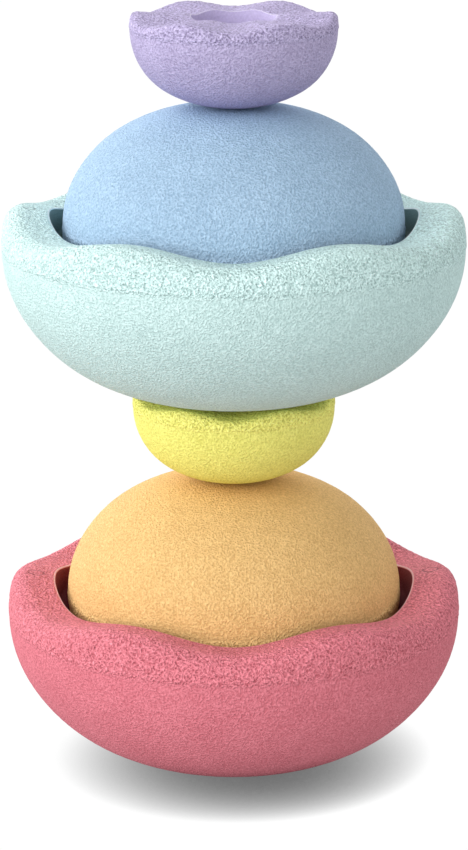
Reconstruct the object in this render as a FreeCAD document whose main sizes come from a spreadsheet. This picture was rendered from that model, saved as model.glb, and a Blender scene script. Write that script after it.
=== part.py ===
import FreeCAD, Part
import math
import os
import Sketcher

# A tower of six hollow foam stones in three sizes, with crowns and rims turned about so that they
# stack: red bowl, orange dome, yellow cup, mint bowl, blue dome, lilac cup, from the floor upwards.
# Each stone is one moulded piece: a rounded crown, a hollow behind it, and a rim that rises and
# falls in waves. A stone is drawn crown down, with the crown's flat at z = 0 and its axis on Z.

ARC_SPAN = math.radians(30)
WAVE_POINTS_PER_CREST = 16
EDGE_SAMPLES = 25
ON_SURFACE = 0.05
LEVEL = 0.01

SHARED_SIZES = {
    "wave_count": 6,            # crests round a rim
    "parting_step": 0.3,        # at the widest place, the side above the parting line stands out
    "cutter_margin": 6,         # how far the wave cutter reaches outside a stone
    "cutter_reach": 12,         # how far it reaches in over a mouth
    "cutter_height": 40,
    "dome_crown": 172.3,        # from a bowl's crown flat up to the crown of the dome in it
    "crown_gap": 0.3,           # between a dome's crown and the crown of the cup on it
    "bowl_base": 54.25,         # from a cup's crown flat up to the bowl that rests on its rim
}

SIZE_NAMES = ("large", "medium", "small")

# A column for each size of stone, in millimetres and degrees.
STONE_SIZES = {
    "radius":         (137.5, 101.4, 60.8),     # at the widest place, the end of the side arc
    "crown_arc":      (117.0, 101.0, 69.0),     # outline radius over the first 30 degrees of turn
    "shoulder_arc":   (98.5, 74.5, 40.7),       # over the next 30 degrees
    "side_arc":       (75.0, 59.5, 42.8),       # over the last 30 degrees, and on to the rim
    "blank_height":   (122.0, 96.0, 62.0),      # of the turned blank, before its waves are cut
    "mouth_radius":   (108.6, 70.0, 24.9),
    "mouth_height":   (105.8, 83.5, 52.6),      # mean height of the mouth's edge
    "mouth_wave":     (3.7, 2.2, 0.7),          # half the rise from trough to crest
    "edge_height":    (109.5, 85.0, 53.0),      # the same two at the stone's full radius
    "edge_wave":      (4.6, 3.2, 2.2),
    "edge_round":     (11.0, 7.0, 4.0),
    "mouth_round":    (1.4, 1.2, 0.8),
    "wall_slope":     (8.0, 8.0, 10.0),         # of the hollow's wall under the mouth, from upright
    "seat_height":    (93.2, 70.0, 44.0),       # where that wall ends and the sloping seat starts
    "seat_slope":     (50.0, 50.0, 20.0),
    "seat_bottom":    (84.2, 62.0, 38.0),
    "well_radius":    (82.0, 47.0, 18.5),       # of the hollow at its floor
    "floor_height":   (24.0, 21.0, 18.0),
    "seat_round":     (5.0, 4.0, 3.0),          # between the wall and the seat
    "well_lip_round": (14.0, 11.0, 6.0),        # where the seat turns into the well
    "floor_round":    (26.0, 18.0, 8.0),
}

ORANGE_CROWN = "Sizes.dome_crown"
YELLOW_CROWN = ORANGE_CROWN + " + Sizes.crown_gap"
MINT_CROWN = YELLOW_CROWN + " + Sizes.bowl_base"
BLUE_CROWN = MINT_CROWN + " + Sizes.dome_crown"
LILAC_CROWN = BLUE_CROWN + " + Sizes.crown_gap"

# Node, size, crown down or up, and the height of the crown's flat.
TOWER = (
    ("red_bowl", "large", True, "0"),
    ("orange_dome", "medium", False, ORANGE_CROWN),
    ("yellow_cup", "small", True, YELLOW_CROWN),
    ("mint_bowl", "large", True, MINT_CROWN),
    ("blue_dome", "medium", False, BLUE_CROWN),
    ("lilac_cup", "small", True, LILAC_CROWN),
)

doc = FreeCAD.newDocument("stacking_tower")
sheet = doc.addObject("Spreadsheet::Sheet", "Sizes")


def fill_sheet():
    cells = dict(SHARED_SIZES)
    for name, values in STONE_SIZES.items():
        for size, value in zip(SIZE_NAMES, values):
            cells[size + "_" + name] = value
    for row, (alias, value) in enumerate(cells.items(), 1):
        sheet.set("A%d" % row, alias)
        sheet.set("B%d" % row, str(value))
        sheet.setAlias("B%d" % row, alias)
    doc.recompute()


def shared(name):
    return float(sheet.get(name))


def sizes_of(size):
    """One stone size's own column of the sheet, by its short names."""
    return {name: float(sheet.get(size + "_" + name)) for name in STONE_SIZES}


def lean(own, slope):
    """How much wider the hollow gets with each millimetre of height, on a slope of the sheet."""
    return math.tan(math.radians(own[slope]))


def wall_radius(own, height):
    """Radius of the hollow's wall under the mouth at a height."""
    return own["mouth_radius"] + (height - own["mouth_height"]) * lean(own, "wall_slope")


def lip_radius(own):
    """Radius of the seat's lower edge, where the well starts."""
    rise = own["seat_height"] - own["seat_bottom"]
    return wall_radius(own, own["seat_height"]) - rise * lean(own, "seat_slope")


def outline_arcs(own):
    """The three arcs from the crown's flat to the widest place, each as centre, radius, start, end.

    Each arc turns by 30 degrees and is tangent to the one before it.
    """
    radii = (own["crown_arc"], own["shoulder_arc"], own["side_arc"])
    turns = [index * ARC_SPAN for index in range(len(radii) + 1)]
    widths = [r * (math.sin(b) - math.sin(a)) for r, a, b in zip(radii, turns, turns[1:])]
    point = (own["radius"] - sum(widths), 0.0)
    arcs = []
    for radius, first, last in zip(radii, turns, turns[1:]):
        centre = (point[0] - radius * math.sin(first), point[1] + radius * math.cos(first))
        end = (centre[0] + radius * math.sin(last), centre[1] - radius * math.cos(last))
        arcs.append((centre, radius, point, end))
        point = end
    return arcs


def vector(point):
    return FreeCAD.Vector(point[0], point[1], 0)


def line(start, end):
    return Part.LineSegment(vector(start), vector(end))


def arc(centre, radius, start, end):
    """An arc counter-clockwise from start to end, all (radius, height) pairs."""
    first = math.atan2(start[1] - centre[1], start[0] - centre[0])
    last = math.atan2(end[1] - centre[1], end[0] - centre[0])
    return Part.ArcOfCircle(Part.Circle(vector(centre), FreeCAD.Vector(0, 0, 1), radius), first, last)


def profile_geometry(own):
    """Half of the turned blank as a closed chain, starting along the crown's flat."""
    arcs = outline_arcs(own)
    centre, radius, _, widest = arcs[-1]
    band_radius = radius + shared("parting_step")
    top = own["blank_height"]
    band_foot = (centre[0] + band_radius, widest[1])
    band_top = (centre[0] + math.sqrt(band_radius ** 2 - (top - centre[1]) ** 2), top)
    wall_top = (wall_radius(own, top), top)
    wall_foot = (wall_radius(own, own["seat_height"]), own["seat_height"])
    well_lip = (lip_radius(own), own["seat_bottom"])
    floor_edge = (own["well_radius"], own["floor_height"])
    floor_centre = (0.0, own["floor_height"])
    crown_centre = (0.0, 0.0)
    return [
        line(crown_centre, arcs[0][2]),
        arc(*arcs[0]),
        arc(*arcs[1]),
        arc(*arcs[2]),
        line(widest, band_foot),
        arc(centre, band_radius, band_foot, band_top),
        line(band_top, wall_top),
        line(wall_top, wall_foot),
        line(wall_foot, well_lip),
        line(well_lip, floor_edge),
        line(floor_edge, floor_centre),
        line(floor_centre, crown_centre),
    ]


def draw_profile(sketch, size):
    """The closed chain, tied together and bound to the sheet's cells."""
    sketch.addGeometry(profile_geometry(sizes_of(size)), False)
    crown, crown_arc, shoulder, side, step, band, rim, wall, seat, well, floor, axis = range(12)
    start, end, centre, origin = 1, 2, 3, (-1, 1)

    def tie(kind, *where):
        sketch.addConstraint(Sketcher.Constraint(kind, *where))

    def dimension(kind, formula, *where):
        index = sketch.addConstraint(Sketcher.Constraint(kind, *where, drawn_value(sketch, kind, where)))
        sketch.setExpression("Constraints[%d]" % index, formula)

    for first in (crown, crown_arc, shoulder):
        tie("Tangent", first, end, first + 1, start)
    for first in (side, step, band, rim, wall, seat, well, floor):
        tie("Coincident", first, end, first + 1, start)
    tie("Coincident", axis, end, crown, start)
    tie("Coincident", crown, start, *origin)
    tie("Coincident", band, centre, side, centre)
    for level in (crown, step, rim, floor):
        tie("Horizontal", level)
    tie("Vertical", axis)

    cell = "Sizes." + size + "_"
    wall_lean = "tan(" + cell + "wall_slope * 1 deg)"
    seat_lean = "tan(" + cell + "seat_slope * 1 deg)"
    wall_formula = cell + "mouth_radius + (%s - " + cell + "mouth_height) * " + wall_lean
    seat_rise = "(" + cell + "seat_height - " + cell + "seat_bottom)"
    lip_formula = wall_formula % (cell + "seat_height") + " - " + seat_rise + " * " + seat_lean
    for index, name in ((crown_arc, "crown_arc"), (shoulder, "shoulder_arc"), (side, "side_arc")):
        dimension("Radius", cell + name, index)
        dimension("Angle", "30 deg", index)
    dimension("Radius", cell + "side_arc + Sizes.parting_step", band)
    dimension("DistanceX", cell + "radius - " + cell + "side_arc", *origin, side, centre)
    dimension("DistanceY", cell + "blank_height", *origin, rim, start)
    dimension("DistanceX", wall_formula % (cell + "blank_height"), *origin, rim, end)
    dimension("DistanceX", wall_formula % (cell + "seat_height"), *origin, wall, end)
    dimension("DistanceY", cell + "seat_height", *origin, wall, end)
    dimension("DistanceX", lip_formula, *origin, seat, end)
    dimension("DistanceY", cell + "seat_bottom", *origin, seat, end)
    dimension("DistanceX", cell + "well_radius", *origin, well, end)
    dimension("DistanceY", cell + "floor_height", *origin, well, end)


def drawn_value(sketch, kind, where):
    """What a dimension measures on the sketch as it was drawn."""
    if kind == "Radius":
        return sketch.Geometry[where[0]].Radius
    if kind == "Angle":
        return ARC_SPAN
    point = sketch.getPoint(where[2], where[3])
    return point.x if kind == "DistanceX" else point.y


def origin_plane(body, role):
    return next(item for item in body.Origin.OriginFeatures if item.Role == role)


def level_circles(shape, radius, height):
    """Names of a shape's level circles at a radius and a height."""
    names = []
    for index, edge in enumerate(shape.Edges, 1):
        box = edge.BoundBox
        level = abs(box.ZMin - height) < LEVEL and abs(box.ZMax - height) < LEVEL
        if level and abs(box.XMax - radius) < LEVEL:
            names.append("Edge%d" % index)
    return names


def round_circle(body, base, label, circle, formula):
    feature = body.newObject("PartDesign::Fillet", label)
    feature.Base = (base, level_circles(base.Shape, *circle))
    feature.setExpression("Radius", formula)
    doc.recompute()
    return feature


def turned_blank(node, size):
    """A stone before its waves are cut: the revolved profile, with its hollow rounded."""
    own = sizes_of(size)
    body = doc.addObject("PartDesign::Body", node + "_blank")
    sketch = body.newObject("Sketcher::SketchObject", node + "_profile")
    sketch.AttachmentSupport = [(origin_plane(body, "XZ_Plane"), "")]
    sketch.MapMode = "FlatFace"
    doc.recompute()
    draw_profile(sketch, size)
    turned = body.newObject("PartDesign::Revolution", node + "_turned")
    turned.Profile = sketch
    turned.ReferenceAxis = (sketch, ["V_Axis"])
    turned.Angle = 360
    doc.recompute()
    cell = "Sizes." + size + "_"
    seat = (wall_radius(own, own["seat_height"]), own["seat_height"])
    lip = (lip_radius(own), own["seat_bottom"])
    floor = (own["well_radius"], own["floor_height"])
    seated = round_circle(body, turned, node + "_seat", seat, cell + "seat_round")
    lipped = round_circle(body, seated, node + "_well_lip", lip, cell + "well_lip_round")
    body.Tip = round_circle(body, lipped, node + "_well_floor", floor, cell + "floor_round")
    doc.recompute()
    return body


def rim_height(own, radius, angle):
    """The rim's top surface: its mean and its wave change evenly from the mouth to the edge."""
    share = (radius - own["mouth_radius"]) / (own["radius"] - own["mouth_radius"])
    mean = own["mouth_height"] + share * (own["edge_height"] - own["mouth_height"])
    wave = own["mouth_wave"] + share * (own["edge_wave"] - own["mouth_wave"])
    return mean + wave * math.cos(shared("wave_count") * angle)


def wave_ring(label, own, radius):
    """A closed wavy curve on the rim's top surface, at one radius."""
    count = int(shared("wave_count")) * WAVE_POINTS_PER_CREST
    angles = [2 * math.pi * index / count for index in range(count)]
    points = [
        FreeCAD.Vector(radius * math.cos(a), radius * math.sin(a), rim_height(own, radius, a))
        for a in angles
    ]
    curve = Part.BSplineCurve()
    curve.interpolate(Points=points, PeriodicFlag=True)
    ring = doc.addObject("Part::Feature", label)
    ring.Shape = curve.toShape()
    return ring


def wave_cutter(node, own):
    """A ring that holds everything above the rim's wavy top surface."""
    inner_radius = own["mouth_radius"] - shared("cutter_reach")
    outer_radius = own["radius"] + shared("cutter_margin")
    surface = doc.addObject("Part::RuledSurface", node + "_wave_surface")
    surface.Curve1 = (wave_ring(node + "_inner_wave", own, inner_radius), ["Edge1"])
    surface.Curve2 = (wave_ring(node + "_outer_wave", own, outer_radius), ["Edge1"])
    cutter = doc.addObject("Part::Extrusion", node + "_wave_cutter")
    cutter.Base = surface
    cutter.DirMode = "Custom"
    cutter.Dir = FreeCAD.Vector(0, 0, 1)
    cutter.Solid = False
    cutter.setExpression("LengthFwd", "Sizes.cutter_height")
    doc.recompute()
    return cutter


def rim_edges(shape, own):
    """The rim's outer edge and its mouth edge, each with the radius that rounds it."""
    middle = (own["radius"] + own["mouth_radius"]) / 2
    rim_width = own["radius"] - own["mouth_radius"]
    found = []
    for index, edge in enumerate(shape.Edges, 1):
        places = [(math.hypot(p.x, p.y), math.atan2(p.y, p.x), p.z) for p in edge.discretize(EDGE_SAMPLES)]
        radii = [radius for radius, _, _ in places]
        on_rim = all(abs(z - rim_height(own, radius, angle)) < ON_SURFACE for radius, angle, z in places)
        if on_rim and max(radii) - min(radii) < rim_width / 2:
            rounding = own["edge_round"] if min(radii) > middle else own["mouth_round"]
            found.append((index, rounding, rounding))
    return found


def stone(node, size, crown_down, crown_height):
    """One finished stone in its place in the tower."""
    own = sizes_of(size)
    cut = doc.addObject("Part::Cut", node + "_cut")
    cut.Base = turned_blank(node, size)
    cut.Tool = wave_cutter(node, own)
    doc.recompute()
    piece = doc.addObject("Part::Fillet", node)
    piece.Label = node
    piece.Base = cut
    piece.Edges = rim_edges(cut.Shape, own)
    half_turn = FreeCAD.Rotation(FreeCAD.Vector(1, 0, 0), 0 if crown_down else 180)
    piece.Placement = FreeCAD.Placement(FreeCAD.Vector(0, 0, 0), half_turn)
    piece.setExpression("Placement.Base.z", crown_height)
    doc.recompute()
    return piece


def check(pieces):
    broken = [item.Name for item in doc.Objects if "Invalid" in item.State or "Error" in item.State]
    if broken:
        raise RuntimeError("objects that failed: " + ", ".join(broken))
    for piece in pieces:
        shape = piece.Shape
        if shape.isNull() or not shape.isValid() or len(shape.Solids) != 1:
            raise RuntimeError(piece.Label + " isn't one valid solid")
        if len(piece.Edges) != 2:
            raise RuntimeError(piece.Label + " has a rim edge that isn't rounded")


def write(pieces):
    os.makedirs("parts", exist_ok=True)
    for piece in pieces:
        piece.Shape.exportStep("parts/" + piece.Label + ".step")
        box = piece.Shape.BoundBox
        print("%-12s z %7.2f to %7.2f  width %6.2f  volume %8.0f mm3"
              % (piece.Label, box.ZMin, box.ZMax, box.XLength, piece.Shape.Volume))


fill_sheet()
stones = [stone(*row) for row in TOWER]
doc.recompute()
check(stones)
write(stones)
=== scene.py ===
import math

import bpy
import numpy as np
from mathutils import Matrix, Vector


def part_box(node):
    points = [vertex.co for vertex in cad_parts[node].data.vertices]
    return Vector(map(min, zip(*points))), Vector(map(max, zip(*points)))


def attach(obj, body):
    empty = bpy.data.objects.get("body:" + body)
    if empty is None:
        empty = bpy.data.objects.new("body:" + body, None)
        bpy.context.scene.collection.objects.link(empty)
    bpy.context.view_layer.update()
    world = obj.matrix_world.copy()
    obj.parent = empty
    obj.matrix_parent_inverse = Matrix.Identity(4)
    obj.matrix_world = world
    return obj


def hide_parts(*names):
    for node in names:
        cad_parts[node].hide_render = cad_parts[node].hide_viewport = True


# Six moulded foam stones, stacked: each is drawn as one closed shell by rings round its axis,
# with its parting ledge, wavy rounded rim, seat and hollow, and a grained foam material.

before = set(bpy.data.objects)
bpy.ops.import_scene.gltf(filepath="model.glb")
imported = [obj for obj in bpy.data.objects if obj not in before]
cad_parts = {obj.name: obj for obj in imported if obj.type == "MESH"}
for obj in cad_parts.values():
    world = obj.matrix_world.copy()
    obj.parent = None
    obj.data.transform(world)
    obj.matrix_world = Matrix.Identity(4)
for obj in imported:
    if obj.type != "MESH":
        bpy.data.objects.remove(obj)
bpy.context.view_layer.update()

MM = 0.001
ARC_SPAN = math.radians(30)
WAVE_COUNT = 6

# One stone of each size, crown down, in millimetres and degrees: the CAD model's own dimensions.
STONE_SIZES = {
    "radius":         {"large": 137.5, "medium": 101.4, "small": 60.8},
    "crown_arc":      {"large": 117.0, "medium": 101.0, "small": 69.0},
    "shoulder_arc":   {"large": 98.5, "medium": 74.5, "small": 40.7},
    "side_arc":       {"large": 75.0, "medium": 59.5, "small": 42.8},
    "mouth_radius":   {"large": 108.6, "medium": 70.0, "small": 24.9},
    "mouth_height":   {"large": 105.8, "medium": 83.5, "small": 52.6},
    "mouth_wave":     {"large": 3.7, "medium": 2.2, "small": 0.7},
    "edge_height":    {"large": 109.5, "medium": 85.0, "small": 53.0},
    "edge_wave":      {"large": 4.6, "medium": 3.2, "small": 2.2},
    "edge_round":     {"large": 11.0, "medium": 7.0, "small": 4.0},
    "mouth_round":    {"large": 1.4, "medium": 1.2, "small": 0.8},
    "wall_slope":     {"large": 8.0, "medium": 8.0, "small": 10.0},
    "seat_height":    {"large": 93.2, "medium": 70.0, "small": 44.0},
    "seat_slope":     {"large": 50.0, "medium": 50.0, "small": 20.0},
    "seat_bottom":    {"large": 84.2, "medium": 62.0, "small": 38.0},
    "well_radius":    {"large": 82.0, "medium": 47.0, "small": 18.5},
    "floor_height":   {"large": 24.0, "medium": 21.0, "small": 18.0},
    "seat_round":     {"large": 5.0, "medium": 4.0, "small": 3.0},
    "well_lip_round": {"large": 14.0, "medium": 11.0, "small": 6.0},
    "floor_round":    {"large": 26.0, "medium": 18.0, "small": 8.0},
}
PARTING_STEP = 0.3          # how far the band stands out beyond the crown's skin
LEDGE_HEIGHT = 0.9

# How far apart the rings of points are, in millimetres, on each part of a stone.
CROWN_SPACING = 1.7
RIM_SPACING = 1.15
ROUND_SPACING = 0.5
HOLLOW_SPACING = 3.2
RING_UNIT = 9               # a ring holds this many points, doubled as often as its size needs

# Lumps in the meshes: their size in millimetres, shortest and longest share of it, and limits.
LUMP_SIZE = 4.5
LUMP_SPREAD = (0.7, 1.4)
LUMP_WAVES = 48
LUMP_LIMIT = 2.0
LUMP_SINK = 1.0             # moves the lumps inwards, so that most stay below the CAD's surface

# Grain of the foam: cells per metre, depths in millimetres, and how much of the painted crease shade (a
# darker, richer tint in the grain's low places) a crease takes.
COARSE_GRAIN = 660
COARSE_DEPTH = 1.0
COARSE_SHADE = 0.4
COARSE_SPREAD = (0.34, 0.66)        # of the noise, which is stretched to run from 0 to 1
COARSE_DISTORTION = 0.35
PEBBLE_GRAIN = 1.3 * COARSE_GRAIN
PEBBLE_SPREAD = (0.1, 0.7)
PEBBLE_SMOOTHNESS = 0.5
PEBBLE_SHARE = 0.3                  # of the coarse grain; the rest is worm-like
FINE_GRAIN = 820
FINE_DEPTH = 0.55
FINE_SHADE = 0.5
FINE_SPREAD = (0.3, 0.7)
FINE_DISTORTION = 0.2
MOTTLING = 38
MOTTLING_SPREAD = (0.3, 0.7)
NOISE_ROUGHNESS = 0.55

# Pits: cells per metre, the share of cells with a pit, its depth, and where its wall starts and ends.
PIT_CELLS = 75
PIT_SHARE = 0.2
PIT_DEPTH = 0.8
PIT_WALL = (0.03, 0.06)

# Tints: a factor and a power that a stone's colour takes, and how much of the tint is mixed in.
DARK_MOTTLE = (1.14, 1.07)
PALE_MOTTLE = (1.22, 1.02)
COARSE_TINT, COARSE_SHARE = (1.7, 0.97), 0.9
# Painted shade: the grain's creases are darkened in the colour.
CREASE_SHADE_TINT = (0.65, 2.0)
# Painted shade in the hollow: its colour is darker, most in the narrow gap under the stone above.
HOLLOW_SHADE_TINT = (0.35, 2.0)
# Painted highlight: a pale line on the mouth's rounded edge.
EDGE_HIGHLIGHT_TINT, EDGE_HIGHLIGHT_SHARE = (1.0, 0.3), 0.8
# Painted shade: pits and mould marks are darkened in the colour.
HOLE_SHADE_TINT, HOLE_SHADE_SHARE = (0.25, 1.3), 0.8
SMOOTHEST, ROUGHEST = 0.72, 0.84
GLOSS = 0.12

# How much painted shade a hollow takes where it is a narrow gap, and the part of that where it is open.
GAP_SHADE_SHARE = {"large": 1.0, "medium": 0.5, "small": 0.2}
OPEN_PART = 0.25
GAP_REACH = 0.03                    # how near something is in a gap, in metres
GAP_RANGE = (0.2, 0.8)              # how open a place is where it is all gap, and where it is no gap
GAP_SAMPLES = 6

# Zones: lumps in millimetres, then shares of coarse grain, fine grain, the painted highlight on the mouth's
# edge and the painted shade in the hollow.
ZONE_NAMES = ("coarse", "fine", "edge", "hollow")
CROWN_ZONE = (0.03, 0.0, 1.0, 0.0, 0.0)
RIM_ZONE = (0.09, 1.0, 1.0, 0.0, 0.0)
MOUTH_ZONE = (0.0, 0.3, 0.5, 0.0, 0.0)
EDGE_ZONE = (0.0, 0.3, 0.5, 1.0, 0.0)
HOLLOW_ZONE = (0.0, 0.0, 0.4, 0.0, 1.0)

# Node, size, crown down, colour and seed.
STONES = (
    ("red_bowl", "large", True, (0.700, 0.222, 0.268), 1),
    ("orange_dome", "medium", False, (0.775, 0.514, 0.229), 2),
    ("yellow_cup", "small", True, (0.843, 0.815, 0.234), 3),
    ("mint_bowl", "large", True, (0.610, 0.783, 0.770), 4),
    ("blue_dome", "medium", False, (0.396, 0.544, 0.696), 5),
    ("lilac_cup", "small", True, (0.490, 0.432, 0.630), 6),
)

# Marks that the mould leaves on a bowl's rim: angle in degrees, ring radius and line width in millimetres.
# A mark with no ring radius is a round hole.
MARKS = {
    "red_bowl": ((3, 4.6, 0.9), (180, 4.6, 0.9), (-60, 0.0, 1.1)),
    "mint_bowl": ((2, 0.0, 1.1), (180, 3.2, 0.9), (-60, 0.0, 1.1)),
}
MARK_PLACE = 0.42           # share of the way from the mouth to the stone's full radius
MARK_CORE = 0.3             # share of a line's width that is at full depth
MARK_WEAR = (0.1875, 0.8125)        # the worm-like grain's height where a mark is worn, and where it isn't
MARK_LEAST = 0.3            # what is left of a mark where it is worn


def sizes_of(size):
    """The measures of one size of stone, by name."""
    return {name: values[size] for name, values in STONE_SIZES.items()}


def unit(angle):
    """Direction at an angle from the radius, as (radius, height)."""
    return np.stack([np.cos(angle), np.sin(angle)], axis=-1)


def straight(start, end, spacing):
    """Rows of points along a line in every column, without the row at its end."""
    length = np.max(np.linalg.norm(end - start, axis=-1))
    rows = max(2, round(length / spacing))
    share = (np.arange(rows) / rows)[:, None, None]
    return start + share * (end - start)


def round_arc(centre, radius, first, last, spacing):
    """Rows of points along an arc in every column, without the row at its end."""
    length = np.max(np.abs(last - first)) * abs(radius)
    rows = max(3, round(length / spacing))
    share = (np.arange(rows) / rows)[:, None]
    return centre + radius * unit(first + share * (last - first))


def between(first_angle, first_point, second_angle, second_point, offset):
    """Where two lines meet, once each is moved by the offset along its outward direction."""
    first, second = unit(first_angle), unit(second_angle)
    first_level = np.sum(first * first_point, axis=-1) + offset
    second_level = np.sum(second * second_point, axis=-1) + offset
    cross = first[..., 0] * second[..., 1] - first[..., 1] * second[..., 0]
    radius = (first_level * second[..., 1] - second_level * first[..., 1]) / cross
    height = (first[..., 0] * second_level - second[..., 0] * first_level) / cross
    return np.stack([radius, height], axis=-1)


def crown_rows(own, columns):
    """From the crown's centre over its flat and three arcs to the widest place.

    Also gives the side arc's centre.
    """
    radii = (own["crown_arc"], own["shoulder_arc"], own["side_arc"])
    sines = [math.sin(index * ARC_SPAN) for index in range(len(radii) + 1)]
    widths = [radius * (sines[index + 1] - sines[index]) for index, radius in enumerate(radii)]
    corner = np.array([own["radius"] - sum(widths), 0.0])
    still = np.zeros(columns)
    rows = [straight(np.zeros((columns, 2)), np.tile(corner, (columns, 1)), CROWN_SPACING)]
    for index, radius in enumerate(radii):
        first = index * ARC_SPAN - math.pi / 2
        centre = corner - radius * unit(first)
        rows.append(round_arc(centre, radius, still + first, still + first + ARC_SPAN, CROWN_SPACING))
        corner = centre + radius * unit(first + ARC_SPAN)
    return rows, centre


def rim_rows(own, side_centre, angles):
    """From the widest place over the parting ledge, the band and the rim, to the mouth's edge.

    Also gives where the hollow's wall starts.
    """
    wave = np.cos(WAVE_COUNT * angles)
    mouth_height = own["mouth_height"] + own["mouth_wave"] * wave
    edge_height = own["edge_height"] + own["edge_wave"] * wave
    slope = np.arctan2(edge_height - mouth_height, own["radius"] - own["mouth_radius"])
    rim_out = slope + math.pi / 2
    rim_point = np.stack([np.full_like(wave, own["mouth_radius"]), mouth_height], axis=-1)
    wall_out = np.full_like(wave, math.pi - math.radians(own["wall_slope"]))
    wall_point = np.array([own["mouth_radius"], own["mouth_height"]])

    band_radius = own["side_arc"] + PARTING_STEP
    reach = band_radius - own["edge_round"]
    lowered = np.sum(unit(rim_out) * (rim_point - side_centre), axis=-1) - own["edge_round"]
    edge_centre = side_centre + lowered[:, None] * unit(rim_out)
    edge_centre = edge_centre + np.sqrt(reach ** 2 - lowered ** 2)[:, None] * unit(slope)
    lean = edge_centre - side_centre
    band_end = np.arctan2(lean[:, 1], lean[:, 0])
    mouth_centre = between(rim_out, rim_point, wall_out, wall_point, -own["mouth_round"])

    still = np.zeros_like(wave)
    widest = side_centre + own["side_arc"] * unit(still)
    ledge_turn = LEDGE_HEIGHT / band_radius
    ledge_top = side_centre + band_radius * unit(still + ledge_turn)
    rim_start = edge_centre + own["edge_round"] * unit(rim_out)
    rim_end = mouth_centre + own["mouth_round"] * unit(rim_out)
    rows = [
        straight(widest, ledge_top, PARTING_STEP),
        round_arc(side_centre, band_radius, still + ledge_turn, band_end, RIM_SPACING),
        round_arc(edge_centre, own["edge_round"], band_end, rim_out, RIM_SPACING),
        straight(rim_start, rim_end, RIM_SPACING),
        round_arc(mouth_centre, own["mouth_round"], rim_out, wall_out, ROUND_SPACING),
    ]
    return rows, mouth_centre + own["mouth_round"] * unit(wall_out)


def hollow_rows(own, wall_top):
    """From the mouth's edge down the wall, the seat and the well, and over the floor to its centre."""
    wall_slope, seat_slope = math.radians(own["wall_slope"]), math.radians(own["seat_slope"])
    drop = own["mouth_height"] - own["seat_height"]
    seat = np.array([own["mouth_radius"] - drop * math.tan(wall_slope), own["seat_height"]])
    fall = own["seat_height"] - own["seat_bottom"]
    lip = seat - [fall * math.tan(seat_slope), fall]
    floor = np.array([own["well_radius"], own["floor_height"]])
    well = lip - floor
    middle = np.array([0.0, own["floor_height"]])

    still = np.zeros(len(wall_top))
    wall_out = still + math.pi - wall_slope
    seat_out = still + math.pi - seat_slope
    well_out = still + math.atan2(well[1], well[0]) + math.pi / 2
    floor_out = still + math.pi / 2
    corners = (
        (wall_out, seat, seat_out, own["seat_round"]),
        (seat_out, lip, well_out, -own["well_lip_round"]),
        (well_out, floor, floor_out, own["floor_round"]),
    )
    rows = []
    start = wall_top
    for first_out, corner, last_out, radius in corners:
        centre = between(first_out, corner, last_out, corner, radius)
        rows.append(straight(start, centre - radius * unit(first_out), HOLLOW_SPACING))
        rows.append(round_arc(centre, -radius, first_out, last_out, HOLLOW_SPACING))
        start = centre - radius * unit(last_out)
    rows.append(straight(start, np.tile(middle, (len(wall_top), 1)), HOLLOW_SPACING))
    rows.append(np.tile(middle, (1, len(wall_top), 1)))
    return rows


def ring_size(radius, spacing):
    """How many points a ring has, so that they are about the spacing apart."""
    needed = 2 * math.pi * radius / (RING_UNIT * spacing)
    return RING_UNIT * 2 ** max(0, round(math.log2(max(needed, 1.0))))


def ring_sizes(radii, spacings):
    """Points in each ring. Neighbouring rings differ by a factor of two at most."""
    sizes = [ring_size(radius, spacing) for radius, spacing in zip(radii, spacings)]
    for index in range(1, len(sizes)):
        sizes[index] = min(sizes[index], 2 * sizes[index - 1])
    for index in reversed(range(len(sizes) - 1)):
        sizes[index] = min(sizes[index], 2 * sizes[index + 1])
    return sizes


def join_rings(first, first_size, second, second_size):
    """Faces between two rings, each given by its first vertex and its number of points.

    The rings are equal, or one has twice the points of the other, or one is a single point.
    """
    faces = []
    coarse = min(first_size, second_size)
    if coarse == 1:
        ring, size = (first, first_size) if second_size == 1 else (second, second_size)
        for index in range(size):
            edge = (ring + index, ring + (index + 1) % size)
            faces.append(edge + (second,) if second_size == 1 else edge[::-1] + (first,))
        return faces
    for index in range(coarse):
        after = (index + 1) % coarse
        if first_size == second_size:
            faces.append((first + index, first + after, second + after, second + index))
        elif first_size < second_size:
            middle, last = second + 2 * index + 1, second + (2 * index + 2) % second_size
            faces.append((first + index, middle, second + 2 * index))
            faces.append((first + index, first + after, middle))
            faces.append((first + after, last, middle))
        else:
            middle, last = first + 2 * index + 1, first + (2 * index + 2) % first_size
            faces.append((second + index, first + 2 * index, middle))
            faces.append((second + index, middle, second + after))
            faces.append((second + after, middle, last))
    return faces


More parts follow.
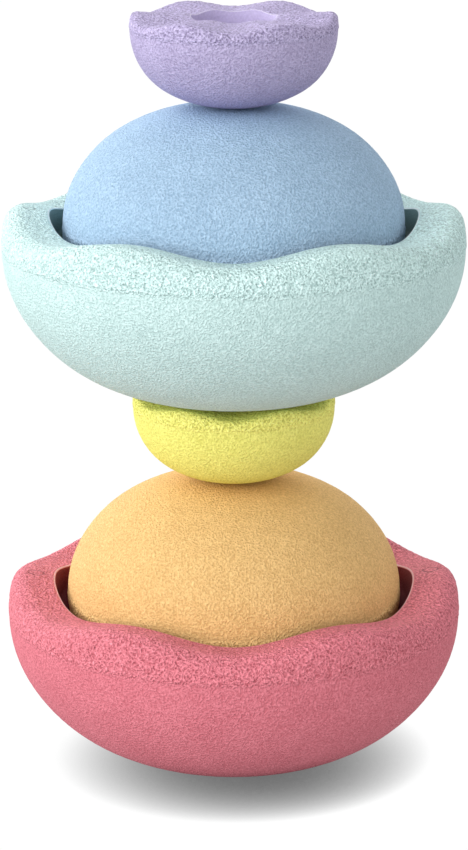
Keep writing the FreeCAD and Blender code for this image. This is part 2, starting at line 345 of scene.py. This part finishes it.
def shell(own):
    """A stone's points in millimetres, crown down, its faces, and each point's zone values.

    Every row of points is worked out at the largest ring's angles, and then thinned to its own ring's.
    """
    largest = ring_size(own["radius"], RIM_SPACING)
    angles = 2 * math.pi * np.arange(largest) / largest
    crown, side_centre = crown_rows(own, largest)
    rim, wall_top = rim_rows(own, side_centre, angles)
    zones = (
        (crown, CROWN_SPACING, CROWN_ZONE),
        (rim[:-1], RIM_SPACING, RIM_ZONE),
        ([rim[-1][:1]], RIM_SPACING, MOUTH_ZONE),
        ([rim[-1][1:-1]], RIM_SPACING, EDGE_ZONE),
        ([rim[-1][-1:]], RIM_SPACING, MOUTH_ZONE),
        (hollow_rows(own, wall_top), HOLLOW_SPACING, HOLLOW_ZONE),
    )
    rows, spacings, row_zones = [], [], []
    for parts, spacing, zone in zones:
        for part in parts:
            rows += list(np.broadcast_to(part, (len(part), largest, 2)))
            spacings += [spacing] * len(part)
            row_zones += [zone] * len(part)

    sizes = [1] + ring_sizes([row[:, 0].mean() for row in rows[1:-1]], spacings[1:-1]) + [1]
    points, point_zones, starts = [], [], []
    for row, size, zone in zip(rows, sizes, row_zones):
        radius, height = row[::largest // size].T
        angle = angles[::largest // size]
        starts.append(sum(len(ring) for ring in points))
        points.append(np.stack([radius * np.cos(angle), radius * np.sin(angle), height], axis=-1))
        point_zones += [zone] * size
    faces = []
    for index in range(len(sizes) - 1):
        faces += join_rings(starts[index], sizes[index], starts[index + 1], sizes[index + 1])
    return np.concatenate(points), faces, np.array(point_zones)


def lumpy(points, size, seed):
    """A smooth random field over the points, with lumps about as wide as the size and a spread of 1."""
    random = np.random.default_rng(seed)
    directions = random.normal(size=(LUMP_WAVES, 3))
    directions /= np.linalg.norm(directions, axis=1)[:, None]
    lengths = size * random.uniform(*LUMP_SPREAD, LUMP_WAVES)
    phases = random.uniform(0, 2 * math.pi, LUMP_WAVES)
    total = np.zeros(len(points))
    for direction, length, phase in zip(directions, lengths, phases):
        total += np.cos(points @ direction * (2 * math.pi / length) + phase)
    return total / math.sqrt(LUMP_WAVES / 2)


def vertex_normals(mesh):
    """The outward direction at each vertex."""
    normals = np.zeros(len(mesh.vertices) * 3, np.float32)
    mesh.vertex_normals.foreach_get("vector", normals)
    return normals.reshape(-1, 3)


def place_marks(own, marks, to_tower):
    """Where a stone's mould marks are in the tower, with their ring radius and line width, in metres."""
    radius = own["mouth_radius"] + MARK_PLACE * (own["radius"] - own["mouth_radius"])
    placed = []
    for degrees, ring, width in marks:
        angle = math.radians(degrees)
        wave = math.cos(WAVE_COUNT * angle)
        mouth = own["mouth_height"] + own["mouth_wave"] * wave
        edge = own["edge_height"] + own["edge_wave"] * wave
        height = mouth + MARK_PLACE * (edge - mouth)
        centre = to_tower(np.array([radius * math.cos(angle), radius * math.sin(angle), height]))
        placed.append((centre, ring * MM, width * MM))
    return placed


def stone(node, size, crown_down, colour, seed):
    """One stone as a shell in the place of its CAD node, which it replaces."""
    own = sizes_of(size)
    low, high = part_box(node)
    scale = (high.x - low.x) / 2 / (own["radius"] + PARTING_STEP)

    def to_tower(points):
        if crown_down:
            return points * scale + [0, 0, low.z]
        return points * [scale, -scale, -scale] + [0, 0, high.z]

    points, faces, zones = shell(own)
    mesh = bpy.data.meshes.new(node + "_foam")
    mesh.from_pydata(points.tolist(), [], faces)
    lumps = np.clip(lumpy(points, LUMP_SIZE, seed), -LUMP_LIMIT, LUMP_LIMIT) - LUMP_SINK
    points = to_tower(points + vertex_normals(mesh) * (zones[:, 0] * lumps)[:, None])
    mesh.vertices.foreach_set("co", points.astype(np.float32).ravel())
    for column, name in enumerate(ZONE_NAMES, 1):
        attribute = mesh.attributes.new(name, "FLOAT", "POINT")
        attribute.data.foreach_set("value", zones[:, column].astype(np.float32))
    mesh.shade_smooth()
    mesh.update()
    marks = place_marks(own, MARKS.get(node, ()), to_tower)
    mesh.materials.append(foam(node, colour, marks, GAP_SHADE_SHARE[size]))
    piece = bpy.data.objects.new(node + "_foam", mesh)
    bpy.context.scene.collection.objects.link(piece)
    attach(piece, node)
    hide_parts(node)


def add_node(tree, kind, inputs=None, **settings):
    """Adds a node. Each input is a value, or another node's output that is linked to it."""
    node = tree.nodes.new(kind)
    for name, value in settings.items():
        setattr(node, name, value)
    for name, value in (inputs or {}).items():
        if isinstance(value, bpy.types.NodeSocket):
            tree.links.new(value, node.inputs[name])
        else:
            node.inputs[name].default_value = value
    return node


def calculate(tree, operation, first, second):
    inputs = {0: first, 1: second}
    return add_node(tree, "ShaderNodeMath", inputs, operation=operation).outputs[0]


def multiply(tree, first, second):
    return calculate(tree, "MULTIPLY", first, second)


def add(tree, first, second):
    return calculate(tree, "ADD", first, second)


def one_minus(tree, value):
    return calculate(tree, "SUBTRACT", 1.0, value)


def stretch(tree, value, from_low, from_high, to_low, to_high):
    """Maps a value from one range to another, and holds it at the ends."""
    inputs = {"Value": value, "From Min": from_low, "From Max": from_high}
    inputs.update({"To Min": to_low, "To Max": to_high})
    return add_node(tree, "ShaderNodeMapRange", inputs, clamp=True).outputs[0]


def blend_colours(tree, share, first, second):
    """The first colour, with a share of the second mixed in."""
    node = add_node(tree, "ShaderNodeMix", data_type="RGBA")
    tree.links.new(share, node.inputs[0])
    for socket, value in ((node.inputs[6], first), (node.inputs[7], second)):
        if isinstance(value, bpy.types.NodeSocket):
            tree.links.new(value, socket)
        else:
            socket.default_value = value
    return node.outputs[2]


def shaded(colour, tint):
    """A colour made lighter or darker by the tint's factor, and richer or paler by its power."""
    factor, power = tint
    return tuple(factor * channel ** power for channel in colour) + (1.0,)


def noise(tree, place, scale, spread, detail, distortion):
    """Noise at a scale, stretched so that its usual spread runs from 0 to 1."""
    inputs = {"Vector": place, "Scale": scale, "Detail": detail, "Distortion": distortion}
    inputs["Roughness"] = NOISE_ROUGHNESS
    plain = add_node(tree, "ShaderNodeTexNoise", inputs).outputs["Fac"]
    return stretch(tree, plain, *spread, 0.0, 1.0)


def pits(tree, place, zone):
    """A few small holes, each in a cell of its own."""
    cells = add_node(tree, "ShaderNodeTexVoronoi", {"Vector": place, "Scale": PIT_CELLS}, feature="F1")
    chance = add_node(tree, "ShaderNodeSeparateColor", {"Color": cells.outputs["Color"]}).outputs[0]
    shape = stretch(tree, cells.outputs["Distance"], *PIT_WALL, 1.0, 0.0)
    chosen = multiply(tree, shape, calculate(tree, "GREATER_THAN", chance, 1 - PIT_SHARE))
    return multiply(tree, chosen, zone)


def mark_depth(tree, place, centre, radius, width):
    """A ring pressed into the surface by the mould, or a round hole where its radius is 0."""
    inputs = {0: place, 1: centre}
    apart = add_node(tree, "ShaderNodeVectorMath", inputs, operation="DISTANCE").outputs["Value"]
    off_ring = calculate(tree, "ABSOLUTE", calculate(tree, "SUBTRACT", apart, radius), 0.0)
    return stretch(tree, off_ring, MARK_CORE * width, width, 1.0, 0.0)


def painted_gap_shade(tree, gap_shade_share):
    """Painted shade in a hollow: a darker tint, more in a narrow gap than where the hollow is open."""
    inputs = {"Distance": GAP_REACH}
    openness = add_node(tree, "ShaderNodeAmbientOcclusion", inputs, samples=GAP_SAMPLES).outputs["AO"]
    return stretch(tree, openness, *GAP_RANGE, gap_shade_share, OPEN_PART * gap_shade_share)


def foam(node, colour, marks, gap_shade_share):
    """Moulded foam: leathery grain where the zone is coarse, fine grain, pits, marks and faint mottling,
    with painted shade in the grain's creases, the pits, the marks and the hollow's gap, and a painted
    highlight on the mouth's edge.
    """
    material = bpy.data.materials.new(node + "_foam")
    material.use_nodes = True
    tree = material.node_tree
    shader = tree.nodes["Principled BSDF"]
    place = add_node(tree, "ShaderNodeTexCoord").outputs["Object"]
    coarse_zone, fine_zone, edge_zone, hollow_zone = (
        add_node(tree, "ShaderNodeAttribute", attribute_name=name).outputs["Fac"] for name in ZONE_NAMES
    )

    worms = noise(tree, place, COARSE_GRAIN, COARSE_SPREAD, detail=1.0, distortion=COARSE_DISTORTION)
    sand = noise(tree, place, FINE_GRAIN, FINE_SPREAD, detail=1.0, distortion=FINE_DISTORTION)
    mottling = noise(tree, place, MOTTLING, MOTTLING_SPREAD, detail=4.0, distortion=0.0)
    inputs = {"Vector": place, "Scale": PEBBLE_GRAIN, "Smoothness": PEBBLE_SMOOTHNESS}
    cells = add_node(tree, "ShaderNodeTexVoronoi", inputs, feature="SMOOTH_F1").outputs["Distance"]
    pebbles = stretch(tree, cells, *PEBBLE_SPREAD, 1.0, 0.0)
    leather = add_node(tree, "ShaderNodeMix", {0: PEBBLE_SHARE, 2: worms, 3: pebbles}).outputs[0]

    coarse_height = multiply(tree, multiply(tree, leather, coarse_zone), COARSE_DEPTH)
    fine_height = multiply(tree, multiply(tree, sand, fine_zone), FINE_DEPTH)
    hole = pits(tree, place, coarse_zone)
    wear = stretch(tree, worms, *MARK_WEAR, MARK_LEAST, 1.0)
    for mark in marks:
        worn = multiply(tree, mark_depth(tree, place, *mark), wear)
        hole = calculate(tree, "MAXIMUM", hole, worn)
    grain_height = add(tree, coarse_height, fine_height)
    relief = calculate(tree, "SUBTRACT", grain_height, multiply(tree, hole, PIT_DEPTH))
    bump = add_node(tree, "ShaderNodeBump", {"Height": relief, "Strength": 1.0, "Distance": MM})
    tree.links.new(bump.outputs[0], shader.inputs["Normal"])

    # Painted shade in the grain's creases, darker where the grain is low.
    coarse_crease_shade = multiply(tree, multiply(tree, one_minus(tree, leather), coarse_zone), COARSE_SHADE)
    fine_crease_shade = multiply(tree, multiply(tree, one_minus(tree, sand), fine_zone), FINE_SHADE)
    tint = blend_colours(tree, mottling, shaded(colour, DARK_MOTTLE), shaded(colour, PALE_MOTTLE))
    layers = (
        (multiply(tree, coarse_zone, COARSE_SHARE), COARSE_TINT),
        (add(tree, coarse_crease_shade, fine_crease_shade), CREASE_SHADE_TINT),
        # Painted shade in the hollow's gap.
        (multiply(tree, hollow_zone, painted_gap_shade(tree, gap_shade_share)), HOLLOW_SHADE_TINT),
        # Painted highlight on the mouth's edge.
        (multiply(tree, edge_zone, EDGE_HIGHLIGHT_SHARE), EDGE_HIGHLIGHT_TINT),
        # Painted shade in the pits and mould marks.
        (multiply(tree, hole, HOLE_SHADE_SHARE), HOLE_SHADE_TINT),
    )
    for share, layer_tint in layers:
        tint = blend_colours(tree, share, tint, shaded(colour, layer_tint))
    tree.links.new(tint, shader.inputs["Base Color"])
    tree.links.new(stretch(tree, mottling, 0.0, 1.0, SMOOTHEST, ROUGHEST), shader.inputs["Roughness"])
    shader.inputs["Specular IOR Level"].default_value = GLOSS
    return material


# The camera, at the photograph's viewing angle: metres, radians, and millimetres for lens and sensor.
CAMERA_PLACE = (0.0, -1.7609, 0.6989)
CAMERA_DIP = 0.268
CAMERA_LENS = 128.39
CAMERA_SENSOR = 36.0
CAMERA_SHIFT = (0.0002, -0.0195)
CAMERA_SIGHT = 50.0


def camera():
    data = bpy.data.cameras.new("camera")
    data.lens = CAMERA_LENS
    data.sensor_width = CAMERA_SENSOR
    data.shift_x, data.shift_y = CAMERA_SHIFT
    data.clip_end = CAMERA_SIGHT
    item = bpy.data.objects.new("camera", data)
    item.location = CAMERA_PLACE
    item.rotation_euler = (math.pi / 2 - CAMERA_DIP, 0.0, 0.0)
    bpy.context.scene.collection.objects.link(item)
    bpy.context.scene.camera = item


# Lights: turn from the camera's side in degrees, positive to the right, height in degrees, and strength.
SUNS = (("key_light", -50, 12, 2.3), ("upper_light", -50, 50, 0.75))
SUN_WIDTH = 45
GLOWS = ((-150, 22, 3.1), (60, 22, 0.8))
GLOW_POWER = 3
EVEN_GLOW = 0.6                     # of the surroundings, all round
OVERHEAD = (0.6, 0.9)               # how steep a direction is where the glow starts to fade, and is gone
SHOWN_SURROUNDINGS = 1.0            # how bright the camera sees them

# The floor, in metres.
FLOOR_REACH = 12.0
FLOOR_GLOW = 0.62
SHOWN_FLOOR = 1.02
SHADOW_REACH = 0.037                # how near the floor a thing has to be to darken it
SHADOW_RANGE = (0.23, 0.86)         # how open a place is where it is black, and where it is white
SHADOW_LEAN = (-0.9, 2.5, 1.0)      # the shadow is widest on the other side
SHADOW_SAMPLES = 32

WHITE = (1.0, 1.0, 1.0, 1.0)
BLACK = (0.0, 0.0, 0.0, 1.0)


def towards(turn, height):
    """Direction from the tower towards a light."""
    turn, height = math.radians(turn), math.radians(height)
    level = math.cos(height)
    return (level * math.sin(turn), -level * math.cos(turn), math.sin(height))


def sun(name, turn, height, strength):
    data = bpy.data.lights.new(name, "SUN")
    data.angle = math.radians(SUN_WIDTH)
    data.energy = strength
    item = bpy.data.objects.new(name, data)
    item.rotation_euler = (math.pi / 2 - math.radians(height), 0.0, math.radians(turn))
    bpy.context.scene.collection.objects.link(item)


def shown_or_cast(tree, shown, cast):
    """One strength for what the camera sees, and another for the light that falls on the stones."""
    to_camera = add_node(tree, "ShaderNodeLightPath").outputs["Is Camera Ray"]
    return add_node(tree, "ShaderNodeMix", {0: to_camera, 2: cast, 3: shown}).outputs[0]


def surroundings():
    """A white studio, brighter in a few directions and dark overhead."""
    world = bpy.data.worlds.new("studio")
    world.use_nodes = True
    tree = world.node_tree
    direction = add_node(tree, "ShaderNodeTexCoord").outputs["Generated"]
    glow = EVEN_GLOW
    for turn, height, strength in GLOWS:
        inputs = {0: direction, 1: towards(turn, height)}
        facing = add_node(tree, "ShaderNodeVectorMath", inputs, operation="DOT_PRODUCT").outputs["Value"]
        side = calculate(tree, "POWER", calculate(tree, "MAXIMUM", facing, 0.0), GLOW_POWER)
        glow = add(tree, glow, multiply(tree, side, strength))
    upward = add_node(tree, "ShaderNodeSeparateXYZ", {0: direction}).outputs["Z"]
    glow = multiply(tree, glow, stretch(tree, upward, *OVERHEAD, 1.0, 0.0))
    background = tree.nodes["Background"]
    background.inputs["Color"].default_value = WHITE
    tree.links.new(shown_or_cast(tree, SHOWN_SURROUNDINGS, glow), background.inputs["Strength"])
    bpy.context.scene.world = world


def floor_paint():
    """White that glows, with a painted shadow: it glows less where something is close above it."""
    paint = bpy.data.materials.new("studio_floor")
    paint.use_nodes = True
    paint.cycles.emission_sampling = "NONE"
    tree = paint.node_tree
    lean = add_node(tree, "ShaderNodeCombineXYZ", dict(enumerate(SHADOW_LEAN))).outputs[0]
    inputs = {"Distance": SHADOW_REACH, "Normal": lean}
    openness = add_node(tree, "ShaderNodeAmbientOcclusion", inputs, samples=SHADOW_SAMPLES).outputs["AO"]
    # Painted shadow on the floor: less glow where something is near above it.
    shade = stretch(tree, openness, *SHADOW_RANGE, 0.0, 1.0)
    glow = multiply(tree, shade, shown_or_cast(tree, SHOWN_FLOOR, FLOOR_GLOW))
    shader = tree.nodes["Principled BSDF"]
    shader.inputs["Base Color"].default_value = BLACK
    shader.inputs["Specular IOR Level"].default_value = 0.0
    shader.inputs["Emission Color"].default_value = WHITE
    tree.links.new(glow, shader.inputs["Emission Strength"])
    return paint


def floor():
    """A white floor that glows evenly, with a painted shadow only close under the tower."""
    near, far = -FLOOR_REACH, FLOOR_REACH
    corners = [(near, near, 0), (far, near, 0), (far, far, 0), (near, far, 0)]
    mesh = bpy.data.meshes.new("studio_floor")
    mesh.from_pydata(corners, [], [(0, 1, 2, 3)])
    mesh.materials.append(floor_paint())
    item = bpy.data.objects.new("studio_floor", mesh)
    bpy.context.scene.collection.objects.link(item)


for row in STONES:
    stone(*row)
camera()
for row in SUNS:
    sun(*row)
surroundings()
floor()
bpy.context.scene.view_settings.view_transform = "Standard"
